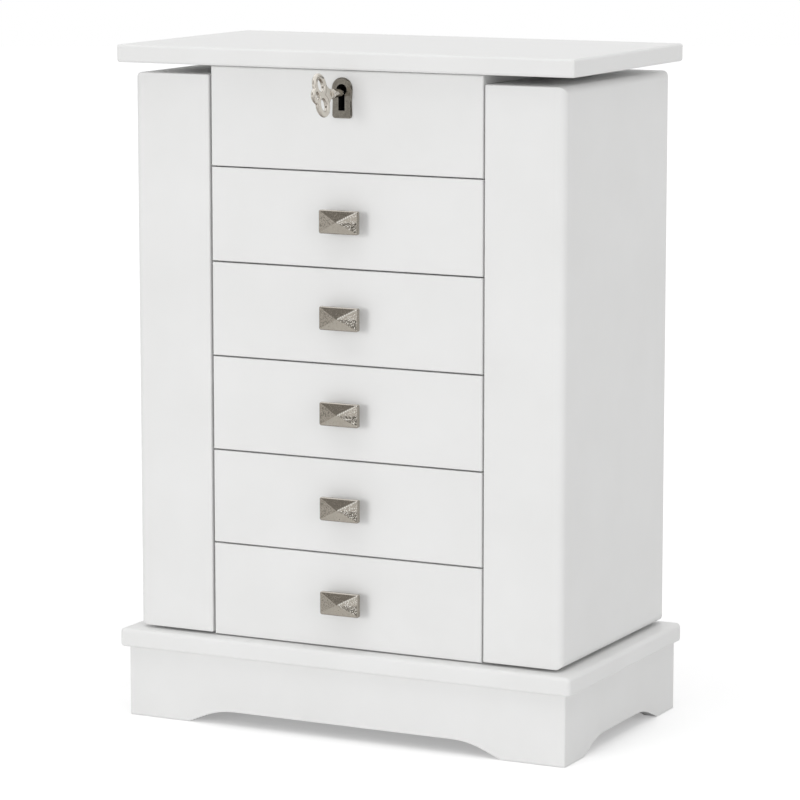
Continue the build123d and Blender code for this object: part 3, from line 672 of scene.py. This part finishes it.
def rollMesh(k):
    bm = bmesh.new()
    bmesh.ops.create_cube(bm, size=1)
    bmesh.ops.subdivide_edges(bm, edges=bm.edges, cuts=11, use_grid_fill=True)
    size = Vector((rolls["x1"] - rolls["x0"], 2 * rolls["half"], rolls["height"]))
    for v in bm.verts:
        side = v.co.y * 2
        up = v.co.z + 0.5
        along = abs(v.co.x) * 2
        crown = (1 - abs(side) ** 2.6) ** (1 / 2.6) if abs(side) < 1 else 0.0
        v.co.z = (0.5 * crown + 0.5) * up - 0.5  # rounded over the top, flat underneath
        v.co.z -= 0.16 * up * max(0.0, along - 0.86) / 0.14 * (0.4 + 0.6 * abs(side))
        v.co.y *= 1 - 0.07 * up * max(0.0, along - 0.9) / 0.1
        v.co.z += 0.02 * up * noise.noise(Vector((v.co.x * 5, side, 3.1 * k)))
        v.co.y += 0.02 * up * noise.noise(Vector((v.co.x * 4, side + 9, 5.3 * k)))
    middle = rolls["y0"] + rolls["pitch"] * (k + 0.5)
    centre = Vector(((rolls["x0"] + rolls["x1"]) / 2, middle, rolls["low"] + rolls["height"] / 2))
    bmesh.ops.scale(bm, vec=size, verts=bm.verts)
    bmesh.ops.translate(bm, vec=centre, verts=bm.verts)
    mesh = bpy.data.meshes.new("roll")
    bm.to_mesh(mesh)
    bm.free()
    return mesh


def makeRingRolls():
    bm = bmesh.new()
    for k in range(rolls["count"]):
        part = rollMesh(k)
        bm.from_mesh(part)
        bpy.data.meshes.remove(part)
    bmesh.ops.transform(bm, matrix=Matrix.Scale(mm, 4) @ Matrix.Translation((0, -originY, 0)), verts=bm.verts)
    made = meshObject("ringRolls", bm, finish["velvet"])
    for face in made.data.polygons:
        face.use_smooth = True
    finer = made.modifiers.new("soft", "SUBSURF")
    finer.levels = finer.render_levels = 1
    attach(made, "carcass")
    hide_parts("ring_rolls")


# knob faces: a cast pyramid with a hammered right side, round the head of the plain knob

knob = {
    "halfWidth": 13.96, "halfHeight": 7.56, "corner": 1.25, "bevel": 0.5, "rim": 1.54, "rise": 3.2,
    "thick": 2.5, "across": 150, "up": 80, "hammerRight": 0.24, "hammerLeft": 0.07, "hammerFlat": 0.006,
    "cell": 0.95, "bead": 0.16, "frontHeight": 60.9,
}


# height of the cast face over its rim, and its layer of tarnish and painted light there, from -1 to 1
def knobSkin(x, z, seed):
    across = 1 - abs(x) / (knob["halfWidth"] - knob["bevel"])
    up = 1 - abs(z) / (knob["halfHeight"] - knob["bevel"])
    side = across < up
    fromSide, fromEnd = knob["halfWidth"] - abs(x), knob["halfHeight"] - abs(z)
    edge = min(fromSide, fromEnd)
    if edge < knob["bevel"]:
        # the bevelled border: a painted highlight on the top rim, painted shade on the other sides, deeper on
        # the left
        pale = z > 0 and fromEnd < fromSide
        return edge - knob["bevel"], 0.25 if pale else -0.35 - 0.25 * (x < 0)
    height = knob["rise"] * min(across, up)
    cell = knob["cell"]
    hammer = noise.voronoi(Vector((x / cell, z / cell, seed)))[0][0]
    depth = (knob["hammerRight"] if x > 0 else knob["hammerLeft"]) if side else knob["hammerFlat"]
    inside = min(1.0, abs(across - up) * 9, (edge - knob["bevel"]) / 0.7)
    height += depth * inside * (0.75 - 1.4 * hammer)
    wearAndPaintedLight = 0.0
    # right side: painted glints on the hammered peaks and tarnish in the pits; left side: tarnish in its pits
    # and a little painted shade all over
    if side and x > 0:
        wearAndPaintedLight = inside * max(-1.0, min(1.0, 5.0 * (0.40 - hammer)))
    elif side:
        wearAndPaintedLight = inside * min(0.0, 1.2 * (0.42 - hammer)) - 0.06
    if x > 0.6 and z > 0:  # the beaded ridge up to the right, with a painted highlight along it
        near = max(0.0, 1 - abs(across - up) * 9)
        bead = 0.5 + 0.5 * math.sin(x * 4.6 + seed)
        height += knob["bead"] * near * bead
        wearAndPaintedLight = max(wearAndPaintedLight, near * (0.35 + 0.65 * bead))
    return height, wearAndPaintedLight


def makeKnobFaces():
    for k in range(1, drawerBox["count"] + 1):
        bm = bmesh.new()
        bmesh.ops.create_grid(bm, x_segments=knob["across"], y_segments=knob["up"], size=0.5)
        layer = bm.verts.layers.float.new("wearAndPaintedLight")
        r = knob["corner"]
        for v in bm.verts:
            x, z = v.co.x * 2 * knob["halfWidth"], v.co.y * 2 * knob["halfHeight"]
            height, v[layer] = knobSkin(x, z, 3.7 * k)
            cx, cz = knob["halfWidth"] - r, knob["halfHeight"] - r
            if abs(x) > cx and abs(z) > cz:  # pull the corners in to a round
                out = Vector((abs(x) - cx, abs(z) - cz))
                reach = max(out.x, out.y)
                if out.length > 0:
                    out = out.normalized() * reach
                x, z = math.copysign(cx + out.x, x), math.copysign(cz + out.y, z)
            v.co = (x, knob["rim"] - height, z)
        border = [e for e in bm.edges if e.is_boundary]
        walls = bmesh.ops.extrude_edge_only(bm, edges=border)["geom"]
        moved = [g for g in walls if isinstance(g, bmesh.types.BMVert)]
        for v in moved:
            v.co.y = knob["rim"] + knob["thick"]
            # painted shade on the walls behind the face's edge
            v[layer] = -0.3
        rim = [e for e in bm.edges if e.is_boundary]
        bmesh.ops.edgeloop_fill(bm, edges=rim)
        bmesh.ops.recalc_face_normals(bm, faces=bm.faces)
        middle = drawerBottom(k) + knob["frontHeight"] / 2
        bmesh.ops.translate(bm, vec=(0, -originY, middle), verts=bm.verts)
        bmesh.ops.scale(bm, vec=(mm, mm, mm), verts=bm.verts)
        made = meshObject(f"knobFace{k}", bm, finish["cast"])
        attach(made, f"drawer_{k}")


# the key as one smooth casting, and a near-dark tube round it that paints the shade inside the keyhole

keyCast = {"voxel": 0.2, "smooth": 3, "bowNormal": (0.982, 0.0, 0.191), "patch": 420.0}


# on the walls of the bow and shaft: painted shade where they face down, a painted highlight where they face up,
# and random patches of tarnish
def keyTarnishAndPaintedLight(at, normal):
    side = 1 - abs(normal.dot(Vector(keyCast["bowNormal"])))
    patch = max(0.0, noise.noise(at * keyCast["patch"]) + 0.12)
    return side * (0.7 * max(0.0, normal.z) - 0.95 * max(0.0, -normal.z) - 0.8 * patch)


def makeKey():
    source = nodes["key"]
    bm = bmesh.new()
    bm.from_mesh(source.data)
    bmesh.ops.remove_doubles(bm, verts=bm.verts, dist=0.000002)
    bmesh.ops.recalc_face_normals(bm, faces=bm.faces)
    made = meshObject("castKey", bm, finish["keySkin"])
    mesher = made.modifiers.new("cast", "REMESH")
    mesher.mode = "VOXEL"
    mesher.voxel_size = keyCast["voxel"] * mm
    mesher.use_smooth_shade = True
    softer = made.modifiers.new("soft", "SMOOTH")
    softer.factor = 0.5
    softer.iterations = keyCast["smooth"]
    applyAll(made)
    layer = made.data.attributes.new("wearAndPaintedLight", "FLOAT", "POINT")
    for v in made.data.vertices:
        layer.data[v.index].value = keyTarnishAndPaintedLight(v.co, v.normal)
    print("key casting:", len(made.data.polygons), "faces")
    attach(made, "key")
    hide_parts("key")


def applyAll(obj):
    graph = bpy.context.evaluated_depsgraph_get()
    final = bpy.data.meshes.new_from_object(obj.evaluated_get(graph))
    kept = list(obj.data.materials)
    obj.modifiers.clear()
    obj.data = final
    obj.data.materials.clear()
    for mat in kept:
        obj.data.materials.append(mat)


keyTube = {
    "x": -1.5, "z": 420.4, "radius": 4.1, "slot": 2.65, "drop": 13.55,
    "front": 11.1, "back": 20.15, "wall": 0.35,
}


def makeKeyTube():
    bm = bmesh.new()
    half, radius = keyTube["slot"], keyTube["radius"]
    start = math.asin(half / radius)
    steps = 28
    ring = []
    for i in range(steps + 1):
        turn = -math.pi / 2 + start + (2 * math.pi - 2 * start) * i / steps
        ring.append(bm.verts.new((radius * math.cos(turn), 0, radius * math.sin(turn))))
    ring.append(bm.verts.new((-half, 0, -keyTube["drop"])))
    ring.append(bm.verts.new((half, 0, -keyTube["drop"])))
    edges = [bm.edges.new((ring[i], ring[(i + 1) % len(ring)])) for i in range(len(ring))]
    walls = bmesh.ops.extrude_edge_only(bm, edges=edges)["geom"]
    for v in [g for g in walls if isinstance(g, bmesh.types.BMVert)]:
        v.co.y = keyTube["back"] - keyTube["front"]
    bmesh.ops.recalc_face_normals(bm, faces=bm.faces)
    bmesh.ops.translate(bm, vec=(keyTube["x"], keyTube["front"] - originY, keyTube["z"]), verts=bm.verts)
    bmesh.ops.scale(bm, vec=(mm, mm, mm), verts=bm.verts)
    # the tube is a near-dark lining that paints the shade inside the keyhole
    made = meshObject("keyTube", bm, finish["black"])
    wall = made.modifiers.new("wall", "SOLIDIFY")
    wall.thickness = keyTube["wall"] * mm
    wall.offset = -1
    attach(made, "carcass")


makeCamera()
makeStudio()
print("camera and studio ready")
dressNodes()
print("CAD nodes dressed")
makeDrawerLiners()
makeTrayLiners()
makeDoorLiners()
print("liners made")
makePockets()
makeRingRolls()
print("soft pieces made")
makeKnobFaces()
makeKey()
makeKeyTube()
print("metal details made")
